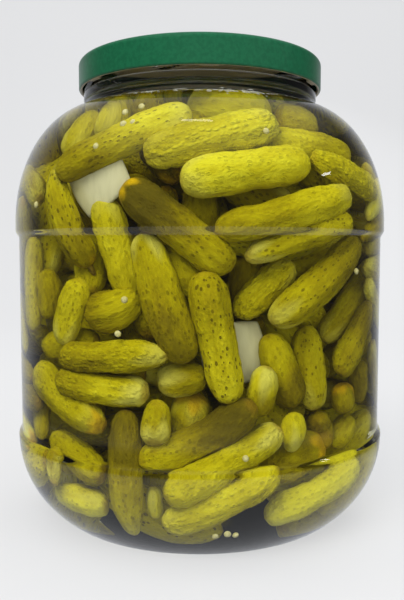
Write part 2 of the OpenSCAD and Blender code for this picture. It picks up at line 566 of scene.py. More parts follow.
# %% The gherkins at the front
FRONT = [
    # turn, high, turn, high, thick, deep, bright, spots, warts, pale, orange, blunt
    (-43, 153, -3, 174, 14.0, 0, (0.35, 0.85), 0.8, 0.3, (0, 0.6), (0, 0)),
    (-15, 158, 23, 171, 16.0, 0, (0.75, 1.0), 0.3, 1.0, (0.2, 0.3), (0, 0)),
    (-5, 148, 31, 156, 15.5, 0, (0.90, 0.78), 0.2, 0.3, (0.5, 0), (0, 0)),
    (18, 163, 49, 161, 12.0, 10, (0.90, 0.60), 0.1, 0.3, (0, 0), (0, 0)),
    (32, 158, 63, 146, 12.0, 0, 0.75, 0.3, 1.0, (0, 0), (0, 0)),
    (4, 129, 45, 144, 13.5, 0, (0.54, 0.84), 0.2, 0.3, (0, 0.5), (0, 0)),
    (12, 120, 45, 135, 10.5, 0, 0.70, 0.8, 0.3, (0.9, 0), (0.2, 0)),
    (8, 115, -20, 147, 15.0, 0, (0.60, 0.02), 0.6, 0.2, (0, 0), (0, 1.0)),
    (-26, 142, -18, 104, 13.5, 10, 0.75, 0.3, 0.3, (0.5, 0), (0, 0)),
    (-15, 128, -4, 80, 16.0, 0, (0.64, 0.34), 0.6, 0.2, (0.9, 0), (0, 0)),
    (-11, 128, 1, 105, 13.0, 13, 0.70, 0.2, 0.2, (0, 0), (0, 0)),
    (1, 115, 8, 65, 14.5, 0, (0.48, 0.72), 1.0, 0.3, (0, 0), (0, 0)),
    (9, 98, 25, 118, 13.0, 12, 0.65, 0.5, 1.0, (0, 0.3), (0, 0)),
    (19, 95, 52, 126, 15.0, 0, (0.60, 0.40), 0.8, 0.3, (0.5, 0), (0, 0)),
    (35, 87, 63, 117, 12.0, 13, 0.50, 0.2, 0.2, (0.3, 0), (0, 0)),
    (42, 73, 61, 101, 14.0, 0, (0.55, 0.30), 0.8, 0.4, (0, 0), (0, 0)),
    (18, 91, 26, 62, 13.5, 10, (0.60, 0.12), 0.4, 0.2, (0, 0), (0, 0)),
    (29, 94, 33, 60, 13.0, 10, 0.60, 0.8, 0.3, (0, 0.4), (0, 0)),
    (15, 60, 18, 79, 11.5, 2, (0.45, 0.80), 0.3, 0.2, (0, 0.9), (0, 0)),
    (-3, 48, -2, 70, 15.0, 12, 0.60, 0.3, 0.3, (0, 0.3), (0, 0.7)),
    (-11, 74, 2, 76, 14.0, 8, 0.55, 0.3, 0.3, (0.9, 0), (0, 0)),
    (-11, 66, -12, 49, 11.0, 2, 0.65, 0.3, 0.2, (0, 0.8), (0, 0)),
    (-42, 80, -8, 84, 13.0, 0, (0.36, 0.62), 0.4, 0.8, (0, 0.6), (0, 0), (0, 3)),
    (-44, 70, -14, 69, 12.5, 4, (0.40, 0.75), 0.4, 0.7, (0, 1.0), (0, 0), (0, 12)),
    (-56, 73, -27, 54, 15.0, 0, 0.62, 0.4, 0.3, (0, 0.3), (0, 0.8)),
    (-34, 112, -42, 85, 13.0, 0, 0.75, 0.4, 0.2, (0, 0.7), (0, 0)),
    (-45, 154, -33, 115, 14.0, 0, (0.70, 0.50), 1.0, 0.3, (0.3, 0), (0, 0.5), (1.7, 0)),
    (-30, 97, -17, 103, 17.0, 4, (0.22, 0.60), 0.3, 0.3, (0, 0), (0, 0)),
    (-58, 128, -58, 87, 12.5, 0, 0.55, 0.4, 0.2, (0, 0), (0, 0)),
    (-48, 115, -48, 95, 12.0, 8, 0.45, 0.2, 0.2, (0, 0), (0, 0)),
    (-50, 83, -28, 88, 13.0, 12, 0.55, 0.3, 0.2, (0, 0), (0, 0)),
    (-53, 64, -53, 42, 10.0, 6, 0.55, 0.3, 0.2, (0, 0), (0, 0)),
    (-47, 46, -25, 38, 13.0, 6, 0.50, 0.4, 0.2, (0, 0), (0, 0)),
    (-45, 43, -45, 29, 9.0, 0, 0.55, 0.2, 0.1, (0, 0.6), (0, 0), (0, 2.2)),
    (-46, 23, -26, 23, 11.5, 4, 0.90, 0.2, 0.2, (0.3, 0.6), (0, 0)),
    (-20, 62, -20, 11, 13.0, 0, (0.22, 0.65), 0.5, 0.2, (0, 0.3), (0, 0), (0, 2.4)),
    (-9, 29, 22, 55, 14.0, 0, 0.80, 0.3, 0.6, (0, 0.8), (0, 0)),
    (-16, 41, 15, 64, 14.5, 0, (0.60, 0.08), 0.5, 0.3, (0, 0), (0, 0)),
    (-10, 17, 21, 38, 13.0, 0, 0.80, 0.3, 0.5, (0.3, 0), (0, 0)),
    (18, 20, 51, 33, 13.0, 3, 0.98, 0.2, 0.5, (0.6, 0), (0, 0)),
    (35, 22, 50, 22, 12.0, 14, 0.60, 0.2, 0.2, (0, 0), (0, 0)),
    (18, 40, 36, 47, 17.0, 10, 0.50, 0.4, 0.3, (0, 0), (0, 0.9)),
    (25, 61, 26, 45, 10.0, 0, 0.80, 0.2, 0.2, (0, 0.9), (0, 0), (0, 1.8)),
    (45, 56, 44, 69, 11.0, 8, 0.50, 0.4, 0.2, (0, 0), (0, 1.0)),
    (49, 53, 39, 44, 12.0, 12, 0.50, 0.3, 0.2, (0, 0), (0, 0)),
    (33, 58, 36, 48, 12.0, 16, 0.30, 0.3, 0.2, (0, 0), (0, 0)),
    (53, 77, 53, 58, 11.0, 8, 0.35, 0.3, 0.2, (0, 0), (0, 0)),
    (58, 156, 66, 140, 12.0, 8, 0.60, 0.3, 0.3, (0, 0), (0, 0)),
    (-40, 158, -36, 176, 13.0, 12, 0.70, 0.1, 0.2, (0.4, 0), (0, 0)),
    (-27, 165, -27, 180, 14.0, 14, 0.65, 0.1, 0.2, (0.4, 0), (0, 0)),
    (-3, 177, 22, 177, 14.0, 14, 0.90, 0.1, 0.2, (0.3, 0), (0, 0)),
    (24, 172, 38, 172, 13.0, 14, 0.50, 0.1, 0.2, (0, 0), (0, 0)),
    # most gherkins that lie deep behind the front row get a low brightness: painted shade on top of their
    # own tone
    (12, 122, 12, 100, 13.0, 26, 0.35, 0.2, 0.2, (0, 0), (0, 0)),
    (0, 150, 0, 128, 13.0, 26, 0.45, 0.2, 0.2, (0, 0), (0, 0)),
    (-32, 132, -30, 105, 13.0, 14, 0.75, 0.2, 0.2, (0, 0), (0, 0)),
    (-13, 108, -13, 90, 13.0, 14, 0.40, 0.2, 0.2, (0, 0), (0, 0)),
    (-30, 76, -14, 76, 13.0, 16, 0.40, 0.2, 0.2, (0, 0), (0, 0)),
    (-12, 34, -12, 21, 6.5, 12, 0.80, 0.1, 0.1, (0.8, 0), (0, 0)),
]
print("gherkins placed one by one:", len(FRONT))

# %% [markdown]
# ## Settling the gherkins
# Every gherkin is followed through the settling as a chain of five balls. Balls of two gherkins
# push each other apart, all balls are held inside the glass and under the brine, and each chain
# keeps its length and nearly keeps its bend. The balls begin small and grow, so the gherkins find
# room beside each other. The ones placed one by one are drawn back to where they are seen, so they
# move mainly in depth.

# %% The wall as a row of flat faces that push inwards
ALONG = np.array([-1, -0.5, 0, 0.5, 1])
BALL_SHARES = np.array([0.86, 1.0, 1.0, 1.0, 0.86])
CHAIN = len(ALONG)
WALL_GAP = 0.4 * MM
INNER_WALL = side(WALL, BASE_WALL, FLOOR_FILLET)


def wall_radius(high):
    """How far the inside of the glass lies from the axis at this height."""
    return np.interp(high, [point[1] for point in INNER_WALL], [point[0] for point in INNER_WALL])


def holding_faces():
    """A point on each face, the way out through it, and the height of its middle."""
    wall = side(WALL + WALL_GAP, BASE_WALL, FLOOR_FILLET)
    faces = []
    for low, high in zip(wall, wall[1:]):
        run = math.hypot(high[0] - low[0], high[1] - low[1])
        out = ((high[1] - low[1]) / run, (low[0] - high[0]) / run)
        faces.append((low[0], low[1], out[0], out[1], (low[1] + high[1]) / 2))
    return np.array(faces)


WALL_FACES = holding_faces()
print("faces that hold the gherkins in:", len(WALL_FACES))

# %% [markdown]
# ## Holding the balls inside
# A ball may be past several faces at once. Only the face that it passes most pushes it back, and
# faces far above or below it are left out. The domed floor and the brine's surface are simple
# enough for a plain limit on the height.

# %% Push balls back through the wall
FACE_REACH = 3 * MM
DOME_R = 50 * MM
UNDER_BRINE = 2 * MM


def hold_inside(balls, radius):
    """Push each ball back through the face of the wall that it passes most."""
    reach = np.hypot(balls[:, 0], balls[:, 1])
    over = (
        (reach[:, None] - WALL_FACES[:, 0]) * WALL_FACES[:, 2]
        + (balls[:, 2:3] - WALL_FACES[:, 1]) * WALL_FACES[:, 3]
        + radius[:, None]
    )
    far = np.abs(balls[:, 2:3] - WALL_FACES[:, 4]) > radius[:, None] + FACE_REACH
    over[far] = -1
    worst = over.argmax(axis=1)
    depth = np.maximum(over[np.arange(len(balls)), worst], 0)
    out = balls[:, :2] / np.maximum(reach, 1e-6)[:, None]
    balls[:, :2] -= out * (depth * WALL_FACES[worst, 2])[:, None]
    balls[:, 2] -= depth * WALL_FACES[worst, 3]
    floor = BASE_WALL + PUSH_UP * np.clip(1 - (reach / DOME_R) ** 2, 0, 1)
    balls[:, 2] = np.maximum(balls[:, 2], floor + radius)
    balls[:, 2] = np.minimum(balls[:, 2], brine_z - UNDER_BRINE - radius)


# %% [markdown]
# ## Pushing the balls apart
# Comparing every ball with every other is slow, so the pairs that could soon touch are looked up
# now and then, and only they are pushed. A ball in a crowd moves less for each push, because
# pushes from all sides would otherwise throw it about.

# %% Neighbours push each other apart
SOON = 7 * MM


def neighbours(balls, radius, owner):
    """Every two balls of different gherkins that could soon touch."""
    square = (balls**2).sum(axis=1)
    distance = square[:, None] + square[None, :] - 2 * balls @ balls.T
    near = distance < (radius[:, None] + radius[None, :] + SOON) ** 2
    near &= owner[:, None] < owner[None, :]
    return np.nonzero(near)


def push_apart(balls, radius, pairs):
    """Move every two overlapping balls away from each other, and return how far they overlapped."""
    a, b = pairs
    gap = balls[a] - balls[b]
    distance = np.sqrt((gap**2).sum(axis=1)) + 1e-9
    over = np.maximum(radius[a] + radius[b] - distance, 0)
    push = gap * (0.5 * over / distance)[:, None]
    count = np.bincount(a, over > 0, len(balls)) + np.bincount(b, over > 0, len(balls))
    ease = 1 / np.sqrt(np.maximum(count, 1))
    for k in range(3):
        move = np.bincount(a, push[:, k], len(balls)) - np.bincount(b, push[:, k], len(balls))
        balls[:, k] += move * ease
    return over


# %% [markdown]
# ## From an angle and a height to a place in the brine
# A look that enters the jar is bent at its surface, so a gherkin isn't where it seems to be. The
# line of sight is followed to the wall and, by the law of refraction, on into the brine. The five
# balls of a gherkin are then set along their own lines of sight, at the depth wished for.

# %% Lines of sight and chains
# where the eye is that looks at the jar, in metres
VIEWER = np.array([0, -0.340, 0.123])
BEND = 1 / BRINE_BENDS
GRAZING = 0.02
END_INSET = 0.42
SPREAD_R = 80
rng = np.random.default_rng(7)


def line_of_sight(turns, highs):
    """Where an outsider's look meets the brine, and the way it goes on after the brine bends it."""
    reach = wall_radius(highs)
    lean = (wall_radius(highs - MM) - wall_radius(highs + MM)) / (2 * MM)
    out = np.stack([np.sin(turns), -np.cos(turns), lean], axis=1)
    out /= np.linalg.norm(out, axis=1)[:, None]
    meet = np.stack([reach * np.sin(turns), -reach * np.cos(turns), highs], axis=1)
    look = meet - VIEWER
    look /= np.linalg.norm(look, axis=1)[:, None]
    straight_in = np.clip(-(look * out).sum(axis=1), GRAZING, 1)
    bent_in = np.sqrt(1 - BEND**2 * (1 - straight_in**2))
    way = BEND * look + (BEND * straight_in - bent_in)[:, None] * out
    return meet, way, bent_in


def balls_between(line):
    """The angles and heights of the five balls between the two ends, and the thickness."""
    turn_a, high_a, turn_b, high_b, thick = line[:5]
    thick = thick * MM
    run = math.hypot(math.radians(turn_b - turn_a) * SPREAD_R, high_b - high_a) * MM
    inset = END_INSET * thick / max(run, thick)
    shares = 0.5 + ALONG * (0.5 - inset)
    turns = np.radians(turn_a + (turn_b - turn_a) * shares)
    highs = (high_a + (high_b - high_a) * shares) * MM
    return turns, highs, thick


def chain_on_sight(line):
    """The chain of a gherkin that is seen, and each ball's line of sight."""
    turns, highs, thick = balls_between(line)
    deep = line[5] * MM
    meet, way, bent_in = line_of_sight(turns, highs)
    return meet + way * ((deep + thick / 2) / bent_in)[:, None], (meet, way)


def chain_at_wall(line):
    turns, highs, thick = balls_between(line)
    reach = wall_radius(highs) - thick / 2 - line[5] * MM
    return np.stack([reach * np.sin(turns), -reach * np.cos(turns), highs], axis=1)


def chain_inside(middle, direction, length, thick, bend):
    direction = direction / np.linalg.norm(direction)
    across = np.cross(direction, rng.normal(size=3))
    across /= np.linalg.norm(across)
    half = length / 2 - END_INSET * thick
    return middle + ALONG[:, None] * half * direction + (1 - ALONG[:, None] ** 2) * bend * across


# %% [markdown]
# ## The whole jarful
# The gherkins listed one by one come first. Those round the sides and the back lie against the wall
# in seeded places, and a new one is taken mostly where few others are near. The middle of the jar
# is filled at random. Three more lie along the floor at the back, where a gap would let light
# through from behind.

# %% Collect all gherkins
BEHIND = 62
INSIDE = 150
BACK_LOW, BACK_HIGH = 12, 176
BACK_R = 76
NEAR = 8 * MM
CROWDED_CHANCE = 0.02
LYING_BEHIND = [
    (184, 19, 214, 17, 14.0, 0),
    (219, 18, 250, 20, 13.5, 0),
    (150, 18, 178, 19, 13.0, 0),
]
LYING_LOOK = ((0.60, 0.70), 0.4, 0.3, (0.3, 0), (0, 0), (0, 0))


def seeded_look():
    bright = float(np.clip(rng.normal(0.58, 0.16), 0.2, 0.95))
    bright = (bright, float(np.clip(bright + rng.normal(0, 0.2), 0.1, 1)))
    pale = tuple(float(v) for v in rng.choice([0, 0, 0.4, 0.8], size=2))
    orange = (0.0, float(rng.choice([0, 0, 0, 0, 0, 0, 0.8])))
    blunt = tuple(float(v) for v in rng.choice([0, 0, 0, 2.4, 3.2], size=2))
    return bright, float(rng.uniform(0.2, 1)), float(rng.choice([0.2, 0.3, 0.9])), pale, orange, blunt


def seeded_at_back(chains):
    """One more gherkin at the wall, or nothing if it reaches too far or stands in a crowd."""
    turn = rng.uniform(64, 296)
    high = rng.uniform(12, 172)
    length = rng.uniform(36, 66)
    tilt = math.radians(rng.choice([rng.uniform(-40, 40), rng.uniform(50, 130)]))
    thick = rng.uniform(10.5, 16)
    spread = math.degrees(length * math.cos(tilt) / 2 / BACK_R)
    rise = length * math.sin(tilt) / 2
    if high - abs(rise) < BACK_LOW or high + abs(rise) > BACK_HIGH:
        return None
    new = chain_at_wall((turn - spread, high - rise, turn + spread, high + rise, thick, 0))
    crowd = sum(np.linalg.norm(new[:, None] - old[None], axis=2).min() < NEAR for old in chains)
    if crowd > 1 and rng.random() >= CROWDED_CHANCE:
        return None
    return new, thick * MM, seeded_look()


def seeded_inside():
    high = rng.uniform(16, 172) * MM
    room = wall_radius(high) - 20 * MM
    turn = rng.uniform(0, 2 * math.pi)
    reach = room * math.sqrt(rng.uniform(0, 1))
    middle = np.array([reach * math.sin(turn), -reach * math.cos(turn), high])
    direction = rng.normal(size=3) * (1, 1, 0.7)
    thick = rng.uniform(12, 17) * MM
    length = rng.uniform(40, 68) * MM
    bend = rng.uniform(0, 4) * MM
    return chain_inside(middle, direction, length, thick, bend), thick, seeded_look()


def collect():
    """Every gherkin as its chain, its thickness and its look, and the lines of sight in front."""
    seen = [chain_on_sight(line) for line in FRONT]
    made = []
    for (chain, sight), line in zip(seen, FRONT):
        look = line[6:11] + (line[11] if len(line) > 11 else (0, 0),)
        made.append((chain, line[4] * MM, look))
    while len(made) < len(FRONT) + BEHIND:
        new = seeded_at_back([gherkin[0] for gherkin in made])
        if new:
            made.append(new)
    made += [seeded_inside() for i in range(INSIDE)]
    made += [(chain_at_wall(line), line[4] * MM, LYING_LOOK) for line in LYING_BEHIND]
    return made, [sight for chain, sight in seen]


gherkins, sights = collect()
held = len(FRONT)
print("gherkins:", len(gherkins), "of which placed by hand:", held)

# %% [markdown]
# ## The rules of the settling
# Three more rules act in every round. A chain is drawn back to its own length and bend. A gherkin
# at the front is drawn back to its line of sight, and slowly to its depth. The inner ones are
# kept out of the room of the two front rows.

# %% Rules for chains
HOLD_LENGTH, HOLD_BEND = 0.5, 0.3
HOLD_SIGHT, HOLD_DEPTH = 0.6, 0.08
FRONT_ROWS = 30 * MM


def keep_shape(chains, rest):
    for a in range(CHAIN):
        for b in range(a + 1, CHAIN):
            gap = chains[:, b] - chains[:, a]
            now = np.linalg.norm(gap, axis=1)
            fix = 0.5 * (now - rest[:, a, b]) * (HOLD_LENGTH if b - a == 1 else HOLD_BEND)
            fix = (fix / np.maximum(now, 1e-9))[:, None] * gap
            chains[:, a] += fix
            chains[:, b] -= fix


def keep_in_sight(front, meet, way, depth_goal):
    from_wall = front - meet
    depth = (from_wall * way).sum(axis=2)
    aside = from_wall - depth[:, :, None] * way
    front -= HOLD_SIGHT * aside - HOLD_DEPTH * (depth_goal - depth)[:, :, None] * way


def keep_back(inner):
    """Hold the inner gherkins behind the two front rows, which are all listed one by one."""
    reach = np.hypot(inner[:, :, 0], inner[:, :, 1])
    ahead = np.clip(-inner[:, :, 1] / np.maximum(reach, MM), 0, 1)
    room = wall_radius(inner[:, :, 2]) - FRONT_ROWS * np.clip((ahead - 0.25) * 4, 0, 1)
    share = np.minimum(1, room / np.maximum(reach, MM))
    inner[:, :, :2] *= share[:, :, None]


# %% [markdown]
# ## Let them settle
# All rules act in turn for 160 rounds, while the balls grow from under half their size. The
# gherkins at the sides and the back are also pressed lightly outwards, against the glass.

# %% Settle
ROUNDS = 160
START_SIZE, GROWTH = 0.45, 0.75
LOOK_UP_EVERY = 8
PRESS_OUT = 1.004


def settle(chains, thicks, sights):
    owner = np.repeat(np.arange(len(chains)), CHAIN)
    full = (thicks[:, None] / 2 * BALL_SHARES).ravel()
    rest = np.linalg.norm(chains[:, :, None] - chains[:, None, :], axis=3)
    meet = np.array([sight[0] for sight in sights])
    way = np.array([sight[1] for sight in sights])
    depth_goal = ((chains[:held] - meet) * way).sum(axis=2)
    balls = chains.reshape(-1, 3)
    for i in range(ROUNDS):
        radius = full * min(1.0, START_SIZE + GROWTH * i / ROUNDS)
        if i % LOOK_UP_EVERY == 0:
            pairs = neighbours(balls, full, owner)
        over = push_apart(balls, radius, pairs)
        keep_shape(chains, rest)
        keep_in_sight(chains[:held], meet, way, depth_goal)
        chains[held : held + BEHIND, :, :2] *= PRESS_OUT
        keep_back(chains[held + BEHIND :])
        hold_inside(balls, radius)
    return over


chains = np.array([gherkin[0] for gherkin in gherkins])
thicks = np.array([gherkin[1] for gherkin in gherkins])
looks = [gherkin[2] for gherkin in gherkins]
over = settle(chains, thicks, sights)
print("largest and mean overlap of two balls, mm:", round(over.max() / MM, 2), round(over.mean() / MM, 2))

# %% [markdown]
# ## From a ball to a gherkin
# A gherkin is a sphere drawn out ring by ring. Its sides run nearly straight, its ends are blunt,
# and one end is a little thicker. The drawn-out sphere is laid along the settled chain.

# %% Draw out one sphere
FINE = 600


def rings_of(obj, rings):
    """For each point of the sphere, the ring that it is on and how far round it is."""
    numbers = np.empty(len(obj.data.vertices) * 3)
    obj.data.vertices.foreach_get("co", numbers)
    points = numbers.reshape(-1, 3)
    ring = np.rint((1 - np.arccos(np.clip(points[:, 2], -1, 1)) / math.pi) * rings).astype(int)
    return ring, np.arctan2(points[:, 1], points[:, 0])


def draw_out(rings, length, thick, blunt, taper):
    """The places along the middle and the radii of all rings, evenly spaced over the skin."""
    fine = np.sin(np.linspace(-1, 1, FINE) * math.pi / 2)
    power = np.where(fine < 0, blunt[0], blunt[1])
    radius = thick / 2 * np.sqrt(np.clip(1 - np.abs(fine) ** power, 0, 1)) * (1 + taper * fine)
    place = fine * length / 2
    travel = np.concatenate([[0], np.cumsum(np.hypot(np.diff(place), np.diff(radius)))])
    even = np.linspace(0, travel[-1], rings + 1)
    return np.interp(even, travel, place), np.interp(even, travel, radius)


def lay_along(chain, places, radii, ring, around, ridge):
    """Each ring's points, set square to the bent middle line of the chain."""
    length = np.linalg.norm(np.diff(chain, axis=0), axis=1).sum()
    knots = ALONG * length / 2
    bend = [np.polyfit(knots, chain[:, k], 2) for k in range(3)]
    middle = np.stack([np.polyval(b, places) for b in bend], axis=1)
    ahead = np.stack([np.polyval(np.polyder(b), places) for b in bend], axis=1)
    ahead /= np.linalg.norm(ahead, axis=1)[:, None]
    out = chain[2] * (1, 1, 0)
    out = out / max(np.linalg.norm(out), 1e-6)
    across = np.cross(ahead, out)
    across /= np.linalg.norm(across, axis=1)[:, None]
    facing = np.cross(across, ahead)
    spread = np.cos(around)[:, None] * facing[ring] + np.sin(around)[:, None] * across[ring]
    return middle[ring] + (radii[ring] * ridge)[:, None] * spread


# %% [markdown]
# ## The shape of one gherkin
# The gherkin is as long as its chain, and nearly half its thickness more at each end. Low ridges
# run along it, and a slow wave makes it swell and narrow, so that no two look alike.

# %% Shape a gherkin
TAPER = 0.09
LEAST_BLUNT, BLUNT_SHARE = 3.4, 1.55
RIDGES, RIDGE_HIGH = 6, 0.018
FINE_RIDGES, FINE_RIDGE_HIGH = 9, 0.012
WAVE_LONG, WAVE_HIGH = 7 * MM, 0.035


def shape_gherkin(obj, rings, chain, thick, blunt):
    """Draw the sphere out along its chain, and return what the pattern of the skin needs."""
    ring, around = rings_of(obj, rings)
    run = np.linalg.norm(np.diff(chain, axis=0), axis=1).sum() + 2 * END_INSET * thick
    taper = float(rng.uniform(-TAPER, TAPER))
    usual = max(LEAST_BLUNT, BLUNT_SHARE * run / thick)
    places, radii = draw_out(rings, run, thick, [share or usual for share in blunt], taper)
    ridge = 1 + RIDGE_HIGH * np.sin(RIDGES * around + rng.uniform(0, 6))
    ridge += FINE_RIDGE_HIGH * np.sin(FINE_RIDGES * around)
    wave = 1 + WAVE_HIGH * np.sin(places / WAVE_LONG + rng.uniform(0, 6))
    points = lay_along(chain, places, radii * wave, ring, around, ridge)
    obj.data.vertices.foreach_set("co", points.ravel())
    return run, around, places[ring], radii[ring]


# %% [markdown]
# ## What each gherkin tells its skin
# One material covers all gherkins, so what makes each its own is stored in its points: how bright,
# spotted and warty it is, how near its pale, orange or scarred ends a point lies, and the point's
# place on the straight gherkin, which the skin's pattern follows.

# %% Store the look in the points
PALE_FAR, TIP_FAR, SCAR_FAR = 10 * MM, 4 * MM, 1.5 * MM
SCAR = (0.3, 0.6)
UNEVEN = 6
STEEP = 1.4


def near_ends(along, blotch, far, strength, edge):
    """How strongly each point belongs to an end, with an uneven border."""
    near_first = np.clip((far - along - edge * far * blotch * UNEVEN) / far * STEEP, 0, 1)
    near_last = np.clip((far - 1 + along - edge * far * blotch * UNEVEN) / far * STEEP, 0, 1)
    return np.maximum(near_first * strength[0], near_last * strength[1])


def store_look(obj, run, around, place, radius, look):
    bright, spots, warts, pale, orange, blunt = look
    count = len(around)
    along = place / run + 0.5
    blotch = 0.05 * np.sin(3 * around + rng.uniform(0, 6))
    blotch += 0.04 * np.sin(5 * around + rng.uniform(0, 6))
    first, last = bright if isinstance(bright, tuple) else (bright, bright)
    share = np.clip((along + blotch - 0.25) * 2, 0, 1)
    tone = first + (last - first) * share * share * (3 - 2 * share)
    belly = 0.5 + 0.5 * np.cos(around - rng.uniform(-math.pi, math.pi))
    skin = np.stack([tone, np.full(count, spots), np.full(count, warts), belly], axis=1)
    pale = near_ends(along, blotch, PALE_FAR / run, pale, 1)
    tip = near_ends(along, blotch, TIP_FAR / run, orange, 1)
    scar = near_ends(along, blotch, SCAR_FAR / run, SCAR, 0.2)
    ends = np.stack([pale, tip, scar, np.ones(count)], axis=1)
    own = np.stack([place, radius * np.cos(around), radius * np.sin(around)], axis=1)
    own += rng.uniform(0, 1, 3)
    add_attribute(obj, "skin", "FLOAT_COLOR", "color", skin)
    add_attribute(obj, "ends", "FLOAT_COLOR", "color", ends)
    add_attribute(obj, "own_place", "FLOAT_VECTOR", "vector", own)
    group = obj.vertex_groups.new(name="warts")
    group.add(list(range(count)), warts, "REPLACE")


def make_gherkin(sphere, rings, chain, thick, look):
    obj = own_copy(sphere)
    measures = shape_gherkin(obj, rings, chain, thick, look[5])
    store_look(obj, *measures, look)
    return obj


# %% [markdown]
# ## The skin of a gherkin
# Pickled skin is a dull yellow olive. It is mottled, streaked along its length, dotted with small
# dark pores, and paler or even orange towards the ends. The knobs of the warts are painted lighter,
# a painted highlight for the light that wet warts catch. A pattern of cells gives both pores and
# knobs: each pore sits in the middle of a cell, on the top of one of the low knobs.

# %% Skin colour and relief
BRIGHT = [
    (0.0, (0.115, 0.090, 0.006)), (0.25, (0.21, 0.165, 0.004)), (0.45, (0.33, 0.27, 0.003)),
    (0.65, (0.46, 0.395, 0.004)), (0.85, (0.60, 0.53, 0.010)), (1.0, (0.70, 0.65, 0.022)),
]
PORE = (0.10, 0.070, 0.003, 1)
PALE = (0.66, 0.62, 0.10, 1)
ORANGE = (0.62, 0.40, 0.006, 1)
SCAR_BROWN = (0.30, 0.19, 0.012, 1)


def pores_and_knobs(tree, place):
    """Dark dots of uneven size, some of them faint, and the low knobs that they sit on."""
    cells = node(
        tree, "ShaderNodeTexVoronoi", {"feature": "F1"}, Vector=place, Scale=640.0, Randomness=0.85
    )
    near, chance = cells.outputs["Distance"], split(tree, cells.outputs["Color"])
    size = math_node(tree, "MULTIPLY_ADD", chance[1], 0.18, 0.20)
    dot = fade(tree, math_node(tree, "SUBTRACT", size, near), -0.07, 0.05)
    dot = math_node(tree, "MULTIPLY", dot, fade(tree, chance[0], 0.25, 0.6, 0.1, 1.0))
    return dot, fade(tree, near, 0.62, 0.15)


def make_skin():
    material, tree = new_material("gherkin_skin")
    place = attribute(tree, "own_place")["Vector"]
    skin, ends = attribute(tree, "skin"), attribute(tree, "ends")
    bright, spots, warts = split(tree, skin["Color"])
    pale, orange, scar = split(tree, ends["Color"])
    longer = drawn_out(tree, place, (0.62, 1, 1))
    mottle = noise(tree, longer, 150.0, 5.0, 0.65)
    fine = noise(tree, longer, 900.0, 3.0, 0.6)
    streak = noise(tree, drawn_out(tree, place, (0.13, 1, 1)), 520.0, 3.0, 0.55)
    dot, knob = pores_and_knobs(tree, longer)
    tone = add_up(tree, bright, (mottle, 0.62), (fine, 0.30), (streak, 0.36), (skin["Alpha"], 0.18))
    tone = math_node(tree, "SUBTRACT", tone, 0.73)
    # painted highlight: the knobs of warty gherkins are made lighter, as where wet warts catch the light
    tone = add_up(tree, tone, (math_node(tree, "MULTIPLY", knob, warts), 0.16))
    color = ramp(tree, tone, *BRIGHT, smooth=False)
    dots = math_node(tree, "MULTIPLY", dot, math_node(tree, "MULTIPLY_ADD", spots, 0.66, 0.16))
    pale = math_node(tree, "MULTIPLY", pale, fade(tree, mottle, 0.25, 0.6, 0.6, 1.0))
    for mask, tint in ((dots, PORE), (pale, PALE), (orange, ORANGE), (scar, SCAR_BROWN)):
        color = blend(tree, mask, color, tint)
    height = math_node(tree, "MULTIPLY", knob, math_node(tree, "MULTIPLY_ADD", warts, 0.9, 0.25))
    height = add_up(tree, height, (dot, -0.5), (streak, 0.35), (fine, 0.9))
    show_surface(
        tree, Base_Color=color, Roughness=0.42, Specular_IOR_Level=0.06,
        Normal=relief(tree, height, 0.85, 0.0007),
    )
    return material


skin_material = make_skin()
print("skin material:", len(skin_material.node_tree.nodes), "nodes")

# %% [markdown]
# ## Make all gherkins
# The gherkins at the front get a fine sphere, those at the back a coarser one, and those deep
# inside the coarsest.

# %% Rows of gherkins
def make_row(first, last, segments, rings):
    deselect()
    bpy.ops.mesh.primitive_uv_sphere_add(segments=segments, ring_count=rings, radius=1)
    sphere = bpy.context.object
    row = [make_gherkin(sphere, rings, chains[i], thicks[i], looks[i]) for i in range(first, last)]
    bpy.data.objects.remove(sphere)
    return row


front_made = make_row(0, held, 48, 60)
back_made = make_row(held, held + BEHIND, 32, 44)
deep_made = make_row(held + BEHIND, len(chains), 18, 22)
print("gherkins made:", len(front_made), len(back_made), len(deep_made))

# %% [markdown]
# ## Join and roughen the gherkins
# Each row is joined into a few pieces, by side, so that no piece grows too large. Two textures then
# push the skin out and in: soft lumps, and small warts where a gherkin has them.

# %% Join, add lumps and warts, and finish
LUMP_SIZE, LUMP_HIGH = 9 * MM, 1.6 * MM
WART_SIZE, WART_HIGH = 2.6 * MM, 0.7 * MM


def angle_round(obj):
    middle = sum((v.co for v in obj.data.vertices), Vector()) / len(obj.data.vertices)
    return math.atan2(middle.x, -middle.y) % (2 * math.pi)


def by_side(objects, count):
    """Split the gherkins into groups by their angle round the jar."""
    ordered = sorted(objects, key=angle_round)
    size = math.ceil(len(ordered) / count)
    return [ordered[i : i + size] for i in range(0, len(ordered), size)]


def join(objects, name):
    pick(*objects)
    bpy.ops.object.join()
    obj = bpy.context.object
    obj.name = name
    return obj


lumps = bpy.data.textures.new("lumps", "CLOUDS")
lumps.noise_scale = LUMP_SIZE
lumps.noise_depth = 1
grains = bpy.data.textures.new("warts", "VORONOI")
grains.noise_scale = WART_SIZE
grains.noise_intensity = 1.2


def finish_gherkins(objects, name):
    obj = join(objects, name)
    apply_modifier(obj, "DISPLACE", texture=lumps, texture_coords="LOCAL", strength=LUMP_HIGH,
                   mid_level=0.5)
    apply_modifier(obj, "DISPLACE", texture=grains, texture_coords="LOCAL", strength=-WART_HIGH,
                   mid_level=0.5, vertex_group="warts")
    pick(obj)
    bpy.ops.object.shade_smooth()
    return finish_piece(obj, name, skin_material)


for kind, objects, count in (("front", front_made, 3), ("back", back_made, 2), ("deep", deep_made, 2)):
    for i, group in enumerate(by_side(objects, count)):
        finish_gherkins(group, f"gherkins_{kind}_{i + 1}")

# %% [markdown]
# ## Two patterns that several materials share
# Onion, seeds, berry and lacquer all waver between two tones, and the lacquer and the floor both
# ask how far a point lies from the jar's axis. Each of these patterns is built once, as a node
# group, and every material places it with its own values.

